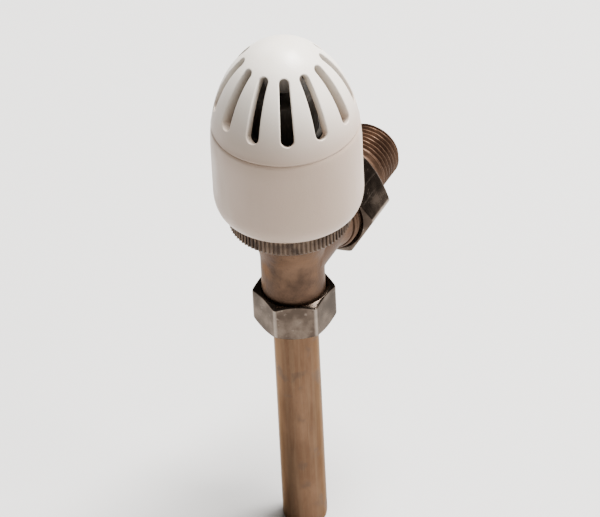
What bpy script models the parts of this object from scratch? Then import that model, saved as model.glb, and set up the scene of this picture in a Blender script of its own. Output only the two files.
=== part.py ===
"""Angle thermostatic radiator valve on a stub of 15 mm copper pipe.

Lengths below are in millimetres, and the helpers scale them to metres. The
origin is the centre of the tail's radiator end. +Y points into the radiator
and +Z runs up the valve's own axis, from the pipe to the top of the cap.
Heights are counted from the branch, whose centre line is at height 0.
"""

import math

import bmesh
import bpy
from mathutils import Matrix, Vector

MM = 0.001
GAP = 0.3  # clearance between pieces that touch
MERGE = 0.00001  # in metres, for the seams of turned shapes

# Driving dimensions
REACH = 62.0  # valve axis to the radiator end of the tail
PIPE_R = 7.5  # 15 mm copper pipe
PIPE_WALL = 0.7
PIPE_END = -110.0  # height of the cut end of the pipe
NECK_R = 10.45  # G 1/2 thread and forged neck
BODY_TOP = 20.0
BODY_FOOT = -21.5
HEAD_THREAD_R = 15.0  # M30 thread that holds the thermostatic head
BRANCH_THREAD_R = 13.1  # G 3/4 thread under the union nut
FLOW_R = 6.5  # water way of the branch
SEAT_Z = -6.5
SEAT_R = 4.6
SOCKET_Z = -13.0  # shoulder that the pipe stops at, and top of its nut
NUT_FOOT = -28.0
COLLAR_R = 20.0
COLLAR_FOOT = 13.5
COLLAR_TOP = 24.0
CAP_R = 24.4
CAP_FOOT = 21.5
CAP_WAIST = 46.0  # where the dome begins
DOME_RISE = 38.0
CAP_WALL = 2.4
FIN_DEPTH = 3.6  # thickness of the bars between the slots
NUT_TURN = 27.5  # degrees from +X to a corner of the compression nut
SLOTS = 12
SLOT_TURN = math.radians(-1.5)  # direction of the first slot from +X

# Sizes that several pieces share
OLIVE_R = 9.3
OLIVE_LENGTH = 4.4
PIN_R = 2.0
PIN_TIP_R = 1.7
PIN_TOP = 29.5
BONNET_R = 9.0
CHAMBER_R = 8.0
SPRING_FLOOR = 14.0
CLIP_Z = 20.3  # underside of the pin's spring clip
SLEEVE_R = 10.5
SLEEVE_BORE = 9.2
SLEEVE_FOOT = 30.0
SLEEVE_TOP = 66.0
CAPSULE_FOOT = 32.2
CAPSULE_TOP = 54.0
ROD_R = 1.8  # push rod of the sensor
STEM_R = 2.7
STEM_GROOVE = 72.0  # foot of the clip's groove, in the stem and in the cap
CLIP_GROOVE = 1.6
CUP_FOOT = 62.5
BASE_BORE = SLEEVE_R + GAP
BASE_R = 12.2
TAIL_BORE = 6.2
SHOULDER_Y = 33.3  # tail shoulder, measured from the valve axis
RING_SECTION = 0.8  # radius of an O-ring's section
SEAL_GROOVE_R = 7.1  # floor of the larger O-ring grooves
SEAL_R = 8.2  # centre of the larger O-rings' section
TAIL_GROOVE = (29.2, 31.4)
BONNET_GROOVE = (13.2, 15.4)
GLAND_GROOVE = (24.0, 26.2)

FINE = 40
MEDIUM = 24
COARSE = 16


def clear_scene():
    for obj in list(bpy.data.objects):
        bpy.data.objects.remove(obj, do_unlink=True)


def new_collection(name):
    collection = bpy.data.collections.new(name)
    bpy.context.scene.collection.children.link(collection)
    return collection


def new_material(name, colour, roughness, metallic=0.0):
    material = bpy.data.materials.new(name)
    material.use_nodes = True
    shader = material.node_tree.nodes["Principled BSDF"]
    shader.inputs["Base Color"].default_value = (*colour, 1.0)
    shader.inputs["Roughness"].default_value = roughness
    shader.inputs["Metallic"].default_value = metallic
    return material


def link(obj, collection, material=None):
    for old in list(obj.users_collection):
        old.objects.unlink(obj)
    collection.objects.link(obj)
    if material:
        obj.data.materials.append(material)
    return obj


def place(obj, parent, along_y=False):
    """Stands a piece on the valve axis, or lays it along the branch."""
    obj.parent = parent
    if along_y:
        obj.rotation_euler = (-math.pi / 2, 0.0, 0.0)
    return obj


def turned(name, outline, steps, closed=True):
    """Turns an outline of (radius, height) points that runs down its outer side."""
    mesh = bpy.data.meshes.new(name)
    bm = bmesh.new()
    verts = [bm.verts.new((radius * MM, 0.0, height * MM)) for radius, height in outline]
    for first, second in zip(verts, verts[1:]):
        bm.edges.new((first, second))
    if closed:
        bm.edges.new((verts[-1], verts[0]))
    bm.to_mesh(mesh)
    bm.free()
    obj = bpy.data.objects.new(name, mesh)
    screw = obj.modifiers.new("Turn", "SCREW")
    screw.steps = steps
    screw.render_steps = steps
    screw.use_merge_vertices = True
    screw.merge_threshold = MERGE
    screw.use_smooth_shade = False
    return obj


def ring(outer, inner, top, foot, edge=0.3):
    """Outline of a plain ring with chamfered outer edges."""
    return [
        (inner, top),
        (outer - edge, top),
        (outer, top - edge),
        (outer, foot + edge),
        (outer - edge, foot),
        (inner, foot),
    ]


def arc(radius, rise, centre_r, centre_z, start, end, count):
    """Points of an elliptical arc, from angle start to end in degrees."""
    points = []
    for index in range(count + 1):
        angle = math.radians(start + (end - start) * index / count)
        points.append((centre_r + radius * math.cos(angle), centre_z + rise * math.sin(angle)))
    return points


def boolean(obj, cutter, operation="DIFFERENCE"):
    cutter.hide_render = True
    cutter.display_type = "WIRE"
    link(cutter, CUTTERS)
    modifier = obj.modifiers.new(operation.title(), "BOOLEAN")
    modifier.operation = operation
    modifier.object = cutter
    modifier.solver = "EXACT"
    return obj


def hexagon(name, across_flats, top, foot, corner_turn=0.0):
    """A hexagonal prism as a cutter, with a corner this many degrees from +X."""
    mesh = bpy.data.meshes.new(name)
    bm = bmesh.new()
    corner = across_flats / 2 / math.cos(math.pi / 6) * MM
    bmesh.ops.create_cone(
        bm, cap_ends=True, segments=6, radius1=corner, radius2=corner, depth=(top - foot) * MM
    )
    centre = Matrix.Translation((0.0, 0.0, (top + foot) / 2 * MM))
    turn = Matrix.Rotation(math.radians(corner_turn + 30.0), 4, "Z")
    bmesh.ops.transform(bm, matrix=centre @ turn, verts=bm.verts)
    bm.to_mesh(mesh)
    bm.free()
    return bpy.data.objects.new(name, mesh)


def o_ring(name, centre_r, centre_z):
    bpy.ops.mesh.primitive_torus_add(
        major_segments=COARSE,
        minor_segments=8,
        major_radius=centre_r * MM,
        minor_radius=RING_SECTION * MM,
    )
    obj = bpy.context.active_object
    obj.name = name
    for vertex in obj.data.vertices:
        vertex.co.z += centre_z * MM
    return link(obj, PARTS, RUBBER)


def coil_spring(name, coil_r, wire_r, foot, top, turns):
    """A round-wire compression spring whose wire stays between two heights."""
    per_turn = 14
    count = int(turns * per_turn)
    curve = bpy.data.curves.new(name, "CURVE")
    curve.dimensions = "3D"
    curve.bevel_depth = wire_r * MM
    curve.bevel_resolution = 2
    curve.use_fill_caps = True
    spline = curve.splines.new("POLY")
    spline.points.add(count)
    rise = top - foot - 2.2 * wire_r
    for index, point in enumerate(spline.points):
        angle = 2 * math.pi * index / per_turn
        height = foot + 1.1 * wire_r + rise * index / count
        point.co = (coil_r * math.cos(angle) * MM, coil_r * math.sin(angle) * MM, height * MM, 1.0)
    return link(bpy.data.objects.new(name, curve), PARTS, SPRING_STEEL)


# Wet half: body, pipe joint and union --------------------------------------


def valve_body(parent):
    outside = [(0.0, BODY_TOP), (HEAD_THREAD_R - 0.6, BODY_TOP), (HEAD_THREAD_R, BODY_TOP - 0.6)]
    outside += [(HEAD_THREAD_R, 13.0), (13.4, 11.2), (12.6, 8.0), (11.0, 4.5), (NECK_R, 1.0)]
    outside += [(NECK_R, BODY_FOOT + 0.5), (NECK_R - 0.3, BODY_FOOT), (0.0, BODY_FOOT)]
    body = link(turned("valve_body", outside, MEDIUM, closed=False), PARTS, BRASS)

    branch_end = SHOULDER_Y - GAP
    branch = [(0.0, branch_end), (BRANCH_THREAD_R - 0.6, branch_end)]
    branch += [(BRANCH_THREAD_R, branch_end - 0.6), (BRANCH_THREAD_R, 21.5)]
    branch += [(10.8, 19.5), (10.8, 0.0), (0.0, 0.0)]
    boolean(body, place(turned("branch", branch, MEDIUM, closed=False), parent, True), "UNION")

    boolean(body, place(turned("water_way", water_way(), MEDIUM, closed=False), parent))

    mouth_r = BONNET_R + GAP
    mouth_foot = branch_end - 6.0
    outlet = [(0.0, branch_end + 1.0), (mouth_r, branch_end + 1.0), (mouth_r, mouth_foot)]
    outlet += [(FLOW_R, mouth_foot - 1.0), (FLOW_R, 0.2), (0.0, 0.2)]
    boolean(body, place(turned("outlet_way", outlet, MEDIUM, closed=False), parent, True))
    return place(body, parent)


def water_way():
    """The hollow up the valve axis: bonnet bore, chamber, seat and pipe socket."""
    socket_r = PIPE_R + GAP
    over = 0.5
    points = [(0.0, BODY_TOP + over), (BONNET_R + GAP, BODY_TOP + over), (BONNET_R + GAP, 12.3)]
    points += [(CHAMBER_R, 12.3), (CHAMBER_R, SEAT_Z - 1.5), (6.3, SEAT_Z - 1.5), (6.0, SEAT_Z)]
    points += [(SEAT_R, SEAT_Z), (SEAT_R, -10.0), (FLOW_R, SOCKET_Z + 1.0), (FLOW_R, SOCKET_Z)]
    points += [(socket_r, SOCKET_Z), (socket_r, BODY_FOOT + 1.8), (9.7, BODY_FOOT - 0.1)]
    points += [(9.7, BODY_FOOT - over), (0.0, BODY_FOOT - over)]
    return points


def copper_tube(parent):
    outline = ring(PIPE_R, PIPE_R - PIPE_WALL, SOCKET_Z - GAP, PIPE_END, edge=0.15)
    tube = turned("copper_tube", outline, MEDIUM)
    return place(link(tube, PARTS, COPPER), parent)


def olive(parent):
    """Soft ring with a cone at each end, squeezed between body and nut."""
    bore, outer, cone, top = PIPE_R + GAP, OLIVE_R, 1.5, BODY_FOOT + 1.3
    foot = top - OLIVE_LENGTH
    outline = [(bore, top), (outer, top - cone), (outer, foot + cone), (bore, foot)]
    return place(link(turned("olive", outline, MEDIUM), PARTS, BRASS), parent)


def compression_nut(parent):
    """24 mm hexagon nut that ends in a short cone around the pipe."""
    corner, top, hex_foot = 13.9, SOCKET_Z, NUT_FOOT + 1.5
    thread_r = NECK_R + GAP
    hole, seat = 7.9, BODY_FOOT + 1.3 - OLIVE_LENGTH - 0.4
    cone = OLIVE_R - hole
    outline = [(thread_r, top), (corner - 1.4, top), (corner, top - 0.9), (corner, hex_foot + 0.9)]
    outline += [(corner - 2.2, hex_foot), (9.6, NUT_FOOT), (hole, NUT_FOOT), (hole, seat)]
    outline += [(OLIVE_R, seat + cone), (thread_r, seat + cone)]
    nut = link(turned("compression_nut", outline, MEDIUM), PARTS, NUT_METAL)
    cutter = hexagon("compression_hexagon", 24.0, top + 1.0, NUT_FOOT - 1.0, NUT_TURN)
    boolean(nut, place(cutter, parent), "INTERSECT")
    return place(nut, parent)


def union_nut(parent):
    """30 mm hexagon nut that pulls the tail's shoulder against the branch."""
    corner, inner_face, outer_face = 17.35, 24.0, 40.3
    thread_r = BRANCH_THREAD_R + GAP
    lip_y = 36.6
    outline = [(10.8, outer_face), (corner - 2.6, outer_face), (corner, outer_face - 1.5)]
    outline += [(corner, inner_face + 1.0), (corner - 1.6, inner_face), (thread_r, inner_face)]
    outline += [(thread_r, lip_y), (10.8, lip_y)]
    nut = link(turned("union_nut", outline, MEDIUM), PARTS, NUT_METAL)
    cutter = hexagon("union_hexagon", 30.0, outer_face + 1.0, inner_face - 1.0)
    boolean(nut, place(cutter, parent, True), "INTERSECT")
    return place(nut, parent, True)


def union_tail(parent):
    """Turned tail: sealed nose, shoulder, barrel and the G 1/2 thread."""
    nose_y, thread_y, barrel_r, shoulder_r = 27.3, 48.0, 9.3, 12.6
    groove_y, groove_end = TAIL_GROOVE
    shoulder_end = SHOULDER_Y + 3.0
    outline = [(TAIL_BORE, REACH), (9.5, REACH), (NECK_R, REACH - 1.0), (NECK_R, thread_y)]
    outline += [(barrel_r, thread_y - 1.0), (barrel_r, shoulder_end), (shoulder_r, shoulder_end)]
    outline += [(shoulder_r, SHOULDER_Y), (BONNET_R, SHOULDER_Y), (BONNET_R, groove_end)]
    outline += [(SEAL_GROOVE_R, groove_end), (SEAL_GROOVE_R, groove_y), (BONNET_R, groove_y)]
    outline += [(BONNET_R, nose_y), (TAIL_BORE, nose_y)]
    tail = link(turned("union_tail", outline, MEDIUM), PARTS, BRASS)
    return place(tail, parent, True)


# Bonnet and valve pin -------------------------------------------------------


def bonnet(parent):
    """Screwed insert that guides the pin and closes the body's top."""
    hex_top, hex_foot, thread_foot, foot = 24.6, BODY_TOP + GAP, 12.6, 7.0
    groove_foot, groove_top = BONNET_GROOVE
    guide_r = PIN_R + GAP
    well_r = 5.2
    outline = [(well_r, hex_top), (9.9, hex_top), (10.4, hex_top - 0.5), (10.4, hex_foot)]
    outline += [(BONNET_R, hex_foot), (BONNET_R, groove_top), (SEAL_GROOVE_R, groove_top)]
    outline += [(SEAL_GROOVE_R, groove_foot), (BONNET_R, groove_foot), (BONNET_R, thread_foot)]
    outline += [(7.2, thread_foot), (7.2, foot), (guide_r, foot), (guide_r, SPRING_FLOOR)]
    outline += [(well_r, SPRING_FLOOR)]
    piece = link(turned("bonnet", outline, MEDIUM), PARTS, BRASS)
    cutter = hexagon("bonnet_hexagon", 18.4, hex_top + 1.0, foot - 1.0)
    boolean(piece, place(cutter, parent), "INTERSECT")
    return place(piece, parent)


def gland_nut(parent):
    """Hexagon plug in the bonnet, grooved inside for the pin's O-ring."""
    top, head_foot, foot = 28.0, 24.9, 23.4
    bore, groove_r, shank_r, corner = PIN_R + GAP, 4.1, 4.9, 6.35
    outline = [(bore, top), (corner - 0.6, top), (corner, top - 0.4), (corner, head_foot)]
    groove_foot, groove_top = GLAND_GROOVE
    outline += [(shank_r, head_foot), (shank_r, foot), (bore, foot), (bore, groove_foot)]
    outline += [(groove_r, groove_foot), (groove_r, groove_top), (bore, groove_top)]
    nut = link(turned("gland_nut", outline, COARSE), PARTS, BRASS)
    boolean(nut, place(hexagon("gland_hexagon", 11.0, top + 1.0, foot - 1.0), parent), "INTERSECT")
    return place(nut, parent)


def valve_pin(pin):
    """Stainless pin, grooved for its clip and stepped down for the disc."""
    tip, shoulder, clip_top = -7.3, 0.8, CLIP_Z + 1.3
    waist, clip_foot = PIN_R - 0.5, CLIP_Z - GAP
    outline = [(0.0, PIN_TOP), (waist, PIN_TOP), (PIN_R, PIN_TOP - 0.5), (PIN_R, clip_top)]
    outline += [(waist, clip_top), (waist, clip_foot), (PIN_R, clip_foot), (PIN_R, shoulder)]
    outline += [(PIN_TIP_R, shoulder), (PIN_TIP_R, tip), (0.0, tip)]
    piece = turned("valve_pin", outline, COARSE, closed=False)
    return place(link(piece, PARTS, STEEL), pin)


def pin_pieces(pin):
    """Clip, disc, sealing washer and nut carried by the valve pin, from the top down."""
    hole = PIN_TIP_R + GAP
    disc_top, disc_foot = 0.5, -2.1
    washer_top, washer_foot = disc_foot - GAP, -4.7
    nut_top, nut_foot = washer_foot - GAP, -7.0
    clip_ring = ring(4.3, PIN_R - 0.2, CLIP_Z + 1.0, CLIP_Z, 0.2)
    clip = link(turned("pin_clip", clip_ring, COARSE), PARTS, STEEL)
    disc_ring = ring(6.6, hole, disc_top, disc_foot)
    disc = link(turned("valve_disc", disc_ring, MEDIUM), PARTS, BRASS)
    washer_ring = ring(6.1, hole, washer_top, washer_foot)
    washer = link(turned("seat_washer", washer_ring, MEDIUM), PARTS, RUBBER)
    nut = link(turned("disc_nut", ring(3.3, hole, nut_top, nut_foot, 0.2), COARSE), PARTS, BRASS)
    for piece in (clip, disc, washer, nut):
        place(piece, pin)


def sensor_piston(pin):
    """Push rod of the sensor, whose button bears on the valve pin."""
    button_foot, button_top, button_r, rod_top = PIN_TOP + GAP, 31.4, 4.5, 39.0
    edge = 0.3
    outline = [(0.0, rod_top), (ROD_R, rod_top), (ROD_R, button_top), (button_r - edge, button_top)]
    outline += [(button_r, button_top - edge), (button_r, button_foot), (0.0, button_foot)]
    piece = turned("sensor_piston", outline, COARSE, closed=False)
    return place(link(piece, PARTS, STEEL), pin)


# Thermostatic head ----------------------------------------------------------


def ring_nut(parent):
    """M30 collar that clamps the head on the body."""
    lip_z = 22.0
    lip_bore = BASE_R + GAP
    thread_r = HEAD_THREAD_R + GAP
    outline = [(lip_bore, COLLAR_TOP), (COLLAR_R - 1.0, COLLAR_TOP), (COLLAR_R, COLLAR_TOP - 1.0)]
    outline += [(COLLAR_R, COLLAR_FOOT + 1.2), (COLLAR_R - 1.2, COLLAR_FOOT)]
    outline += [(thread_r, COLLAR_FOOT), (thread_r, lip_z), (lip_bore, lip_z)]
    return place(link(turned("ring_nut", outline, FINE), PARTS, COLLAR_BRONZE), parent)


def head_base(parent):
    """Fixed tube whose inner thread carries the adjusting sleeve."""
    foot, flange_top, top = BODY_TOP + GAP, 21.7, 52.0
    outline = [(BASE_BORE, top), (BASE_R - 0.4, top), (BASE_R, top - 0.4), (BASE_R, flange_top)]
    outline += [(HEAD_THREAD_R - 0.1, flange_top), (HEAD_THREAD_R - 0.1, foot), (BASE_BORE, foot)]
    return place(link(turned("head_base", outline, MEDIUM), PARTS, DARK_PLASTIC), parent)


def guide_ring(parent):
    """Plastic ring on the base that keeps the cap central."""
    outline = ring(CAP_R - CAP_WALL - 0.4, BASE_R + GAP, 30.5, 28.0)
    return place(link(turned("guide_ring", outline, FINE), PARTS, DARK_PLASTIC), parent)


def adjusting_sleeve(carrier):
    lip_bore, lip_top = 6.5, SLEEVE_FOOT + 1.6
    outline = [(SLEEVE_BORE, SLEEVE_TOP), (SLEEVE_R, SLEEVE_TOP), (SLEEVE_R, SLEEVE_FOOT)]
    outline += [(lip_bore, SLEEVE_FOOT), (lip_bore, lip_top), (SLEEVE_BORE, lip_top)]
    return place(link(turned("adjusting_sleeve", outline, MEDIUM), PARTS, DARK_PLASTIC), carrier)


def sensor_capsule(carrier):
    """Liquid-filled sensor, waisted twice and bored for its piston."""
    side = SLEEVE_BORE - GAP
    bore, bore_top = ROD_R + GAP, 41.0
    waist_depth, waist_half = 0.8, 0.6
    outline = [(0.0, CAPSULE_TOP), (side - 1.0, CAPSULE_TOP), (side, CAPSULE_TOP - 1.0)]
    for waist in (48.0, 40.0):
        outline += [(side, waist + 2 * waist_half), (side - waist_depth, waist + waist_half)]
        outline += [(side - waist_depth, waist - waist_half), (side, waist - 2 * waist_half)]
    outline += [(side, CAPSULE_FOOT + 0.8), (side - 0.8, CAPSULE_FOOT), (bore, CAPSULE_FOOT)]
    outline += [(bore, bore_top), (0.0, bore_top)]
    capsule = turned("sensor_capsule", outline, MEDIUM, closed=False)
    return place(link(capsule, PARTS, COPPER), carrier)


def spring_cup(carrier):
    """Screwed plug of the sleeve, whose stem holds the cap."""
    top, stem_top = SLEEVE_TOP - GAP, 77.0
    groove_r, groove_top = PIN_R, STEM_GROOVE + CLIP_GROOVE
    outline = [(0.0, stem_top), (STEM_R - 0.5, stem_top), (STEM_R, stem_top - 0.5)]
    outline += [(STEM_R, groove_top), (groove_r, groove_top), (groove_r, STEM_GROOVE)]
    outline += [(STEM_R, STEM_GROOVE), (STEM_R, top), (SLEEVE_BORE - GAP, top)]
    outline += [(SLEEVE_BORE - GAP, CUP_FOOT), (0.0, CUP_FOOT)]
    cup = turned("spring_cup", outline, MEDIUM, closed=False)
    return place(link(cup, PARTS, DARK_PLASTIC), carrier)


def cap_clip(carrier):
    """Snap ring between the stem's groove and the groove in the cap's boss."""
    foot = STEM_GROOVE + GAP
    outline = ring(4.2, PIN_R + GAP, foot + 1.0, foot, 0.2)
    return place(link(turned("cap_clip", outline, COARSE), PARTS, STEEL), carrier)


def cap(parent):
    """Egg-shaped turning cap with deep bars between its vent slots."""
    boss_r, boss_foot, bore, bore_top = 6.0, 69.0, STEM_R + GAP, 79.0
    clip_groove_r, groove_top = 4.6, STEM_GROOVE + CLIP_GROOVE
    hem_z, hem_r = 28.0, 21.8
    band_bore, band_top = CAP_R - CAP_WALL, 54.0
    mouth_bore, mouth_top = 20.4, 24.0
    outline = arc(CAP_R, DOME_RISE, 0.0, CAP_WAIST, 90.0, 0.0, 13)
    outline += arc(CAP_R - hem_r, hem_z - CAP_FOOT, hem_r, hem_z, 0.0, -90.0, 4)
    outline += [(mouth_bore, CAP_FOOT), (mouth_bore, mouth_top)]
    outline += [(band_bore, hem_z), (band_bore, band_top)]
    inner_r, inner_rise = CAP_R - FIN_DEPTH, DOME_RISE - FIN_DEPTH
    boss_angle = math.degrees(math.acos(boss_r / inner_r))
    outline += arc(inner_r, inner_rise, 0.0, CAP_WAIST, 19.5, boss_angle, 6)
    outline += [(boss_r, boss_foot), (bore, boss_foot), (bore, STEM_GROOVE)]
    outline += [(clip_groove_r, STEM_GROOVE), (clip_groove_r, groove_top), (bore, groove_top)]
    outline += [(bore, bore_top), (0.0, bore_top)]
    outline[0] = (0.0, CAP_WAIST + DOME_RISE)
    piece = link(turned("cap", outline, FINE, closed=False), PARTS, CAP_WHITE)
    return place(boolean(piece, place(slot_cutter(), parent)), parent)


def slot_cutter():
    """All the slots as one cutter: tapered round-ended bars that slope down into the cap."""
    lower_r, upper_r, length = 2.15, 1.6, 21.8
    above, below = 4.0, 7.3
    angle = math.radians(40.0)  # place of the slots' middle on the dome's arc
    slope = math.radians(31.0)
    middle = Vector((CAP_R * math.cos(angle), 0.0, CAP_WAIST + DOME_RISE * math.sin(angle)))
    out = Vector((math.cos(slope), 0.0, math.sin(slope)))
    up = Vector((-out.z, 0.0, out.x))
    half = length / 2
    outline = arc(upper_r, upper_r, 0.0, half - upper_r, 0.0, 180.0, 4)
    outline += arc(lower_r, lower_r, 0.0, lower_r - half, 180.0, 360.0, 4)
    bar = extruded("slot_bar", outline, above + below)
    across = out.cross(up)
    frame = Matrix((-across, up, out)).transposed().to_4x4()
    frame.translation = (middle + out * (above - below) / 2) * MM
    bm = bmesh.new()
    for index in range(SLOTS):
        before = len(bm.verts)
        bm.from_mesh(bar)
        bm.verts.ensure_lookup_table()
        turn = Matrix.Rotation(SLOT_TURN + 2 * math.pi * index / SLOTS, 4, "Z")
        bmesh.ops.transform(bm, matrix=turn @ frame, verts=bm.verts[before:])
    bmesh.ops.recalc_face_normals(bm, faces=bm.faces)
    mesh = bpy.data.meshes.new("slots")
    bm.to_mesh(mesh)
    bm.free()
    return bpy.data.objects.new("slots", mesh)


def extruded(name, outline, thickness):
    """A closed mesh from a flat outline, centred on its own plane."""
    curve = bpy.data.curves.new(name, "CURVE")
    curve.dimensions = "2D"
    curve.fill_mode = "BOTH"
    curve.extrude = thickness / 2 * MM
    spline = curve.splines.new("POLY")
    spline.points.add(len(outline) - 1)
    for point, (x, y) in zip(spline.points, outline):
        point.co = (x * MM, y * MM, 0.0, 1.0)
    spline.use_cyclic_u = True
    flat = bpy.data.objects.new(name, curve)
    CUTTERS.objects.link(flat)
    bpy.context.view_layer.update()
    evaluated = flat.evaluated_get(bpy.context.evaluated_depsgraph_get())
    mesh = bpy.data.meshes.new_from_object(evaluated)
    bpy.data.objects.remove(flat, do_unlink=True)
    bm = bmesh.new()
    bm.from_mesh(mesh)
    bmesh.ops.remove_doubles(bm, verts=bm.verts, dist=MERGE)
    bm.to_mesh(mesh)
    bm.free()
    return mesh


def new_axis(name, parent=None, location=(0.0, 0.0, 0.0)):
    """An empty on the valve axis, which the pieces of one body hang from."""
    empty = bpy.data.objects.new(name, None)
    PARTS.objects.link(empty)
    empty.parent = parent
    empty.location = Vector(location) * MM
    return empty


clear_scene()
PARTS = new_collection("thermostatic_radiator_valve")
CUTTERS = new_collection("cutters")

CAP_WHITE = new_material("cap_white", (0.80, 0.75, 0.69), 0.38)
DARK_PLASTIC = new_material("dark_plastic", (0.03, 0.027, 0.024), 0.6)
BRASS = new_material("aged_brass", (0.42, 0.26, 0.14), 0.36, 1.0)
NUT_METAL = new_material("nut_metal", (0.50, 0.40, 0.30), 0.25, 1.0)
COPPER = new_material("copper", (0.50, 0.27, 0.15), 0.34, 1.0)
COLLAR_BRONZE = new_material("collar_bronze", (0.12, 0.075, 0.05), 0.45, 0.8)
STEEL = new_material("steel", (0.60, 0.60, 0.58), 0.25, 1.0)
SPRING_STEEL = new_material("spring_steel", (0.55, 0.55, 0.54), 0.3, 1.0)
RUBBER = new_material("black_rubber", (0.02, 0.02, 0.02), 0.8)

VALVE_AXIS = new_axis("valve_axis", location=(0.0, -REACH, 0.0))
CARRIER_AXIS = new_axis("carrier_axis", VALVE_AXIS)
CAP_AXIS = new_axis("cap_axis", CARRIER_AXIS)
PIN_AXIS = new_axis("pin_axis", CARRIER_AXIS)

for make in (valve_body, copper_tube, olive, compression_nut, union_nut, union_tail):
    make(VALVE_AXIS)
place(o_ring("tail_o_ring", SEAL_R, sum(TAIL_GROOVE) / 2), VALVE_AXIS, True)
for make in (bonnet, gland_nut, ring_nut, head_base, guide_ring):
    make(VALVE_AXIS)
place(o_ring("bonnet_o_ring", SEAL_R, sum(BONNET_GROOVE) / 2), VALVE_AXIS)
place(o_ring("gland_o_ring", 3.15, sum(GLAND_GROOVE) / 2), VALVE_AXIS)
place(coil_spring("return_spring", 3.6, 0.45, SPRING_FLOOR + GAP, CLIP_Z - GAP, 4.5), VALVE_AXIS)
for make in (adjusting_sleeve, sensor_capsule, spring_cup, cap_clip):
    make(CARRIER_AXIS)
overtravel = coil_spring("overtravel_spring", 7.2, 0.7, CAPSULE_TOP + GAP, CUP_FOOT - GAP, 4.0)
place(overtravel, CARRIER_AXIS)
cap(CAP_AXIS)
for make in (valve_pin, pin_pieces, sensor_piston):
    make(PIN_AXIS)
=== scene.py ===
import math

import bmesh
import bpy
import numpy as np
from mathutils import Matrix, Vector


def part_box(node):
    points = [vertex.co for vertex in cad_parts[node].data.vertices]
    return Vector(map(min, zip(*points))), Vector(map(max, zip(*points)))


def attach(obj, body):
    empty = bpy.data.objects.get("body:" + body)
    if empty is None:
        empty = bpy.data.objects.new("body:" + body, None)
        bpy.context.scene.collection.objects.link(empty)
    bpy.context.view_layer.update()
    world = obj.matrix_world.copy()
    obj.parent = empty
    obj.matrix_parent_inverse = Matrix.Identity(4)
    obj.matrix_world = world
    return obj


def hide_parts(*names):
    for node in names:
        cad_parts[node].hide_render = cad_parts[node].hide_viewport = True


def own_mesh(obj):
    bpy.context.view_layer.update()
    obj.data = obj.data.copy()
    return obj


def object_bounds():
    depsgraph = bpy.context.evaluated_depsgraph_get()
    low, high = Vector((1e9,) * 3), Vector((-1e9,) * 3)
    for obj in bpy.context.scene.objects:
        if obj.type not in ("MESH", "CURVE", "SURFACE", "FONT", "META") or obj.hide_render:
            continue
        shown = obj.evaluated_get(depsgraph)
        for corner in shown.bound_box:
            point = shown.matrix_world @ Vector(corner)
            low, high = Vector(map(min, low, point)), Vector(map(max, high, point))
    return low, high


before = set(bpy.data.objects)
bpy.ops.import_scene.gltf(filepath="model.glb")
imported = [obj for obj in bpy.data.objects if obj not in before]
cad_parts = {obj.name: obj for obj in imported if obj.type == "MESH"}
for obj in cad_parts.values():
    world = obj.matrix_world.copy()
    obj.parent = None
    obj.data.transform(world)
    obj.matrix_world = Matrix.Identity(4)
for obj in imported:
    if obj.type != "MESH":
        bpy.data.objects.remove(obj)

CAD_LOW, CAD_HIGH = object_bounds()

# The frame of this valve: the upright axis of pipe, body and cap, and the branch across it
MM = 0.001
CAP_LOW, CAP_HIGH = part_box("cap")
AXIS_Y = (CAP_LOW.y + CAP_HIGH.y) / 2
CAP_R = (CAP_HIGH.x - CAP_LOW.x) / 2
CAP_FOOT, CAP_TOP = CAP_LOW.z, CAP_HIGH.z
COLLAR_LOW, COLLAR_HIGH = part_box("ring_nut")
COLLAR_R = (COLLAR_HIGH.x - COLLAR_LOW.x) / 2
NUT_LOW, NUT_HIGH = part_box("compression_nut")
PIPE_LOW, PIPE_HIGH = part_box("copper_tube")
PIPE_R = (PIPE_HIGH.x - PIPE_LOW.x) / 2
BODY_LOW, BODY_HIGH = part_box("valve_body")
UNION_LOW, UNION_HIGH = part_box("union_nut")
TAIL_LOW, TAIL_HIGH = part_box("union_tail")

# Proportions of the cap
DOME_RISE = 38.0 * MM
CAP_WAIST = CAP_TOP - DOME_RISE  # where the straight band turns into the dome
CAP_WALL = 2.4 * MM
FIN_DEPTH = 3.6 * MM  # thickness of the bars between the slots
SLOTS = 12
SLOT_TURN = math.radians(-1.5)
SECTOR = 2 * math.pi / SLOTS

# Sizes that several pieces share
NECK_R = 10.45 * MM  # also the crest of the G 1/2 threads
GAS_PITCH = 1.814 * MM
HEAD_PITCH = 1.5 * MM
NUT_TURN = 27.5  # degrees from +X to a corner of the compression nut
CRISP, EASED, SOFT, ROUND = 0.1 * MM, 0.2 * MM, 0.3 * MM, 0.4 * MM  # fillets of turned edges
HOLD = 0.12 * MM  # distance of the edge loops that hold a fillet


# Shader building ------------------------------------------------------------


class Wire:
    """A number or colour inside a material. Arithmetic on it adds Math nodes."""

    def __init__(self, finish, socket):
        self.finish = finish
        self.socket = socket

    def math(self, operation, *others):
        """A Math node on this value and the others."""
        sockets = dict(enumerate((self, *others)))
        return self.finish.node("ShaderNodeMath", {"operation": operation}, sockets)

    def __add__(self, other):
        return self.math("ADD", other)

    def __sub__(self, other):
        return self.math("SUBTRACT", other)

    def __rsub__(self, other):
        return self.finish.node("ShaderNodeMath", {"operation": "SUBTRACT"}, {0: other, 1: self})

    def __mul__(self, other):
        return self.math("MULTIPLY", other)

    __radd__ = __add__
    __rmul__ = __mul__

    def between(self, low, high):
        """0 at low, 1 at high and a smooth step between them, whichever is the larger."""
        settings = {"interpolation_type": "SMOOTHSTEP"}
        sockets = {"Value": self, "From Min": low, "From Max": high}
        return self.finish.node("ShaderNodeMapRange", settings, sockets)


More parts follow.
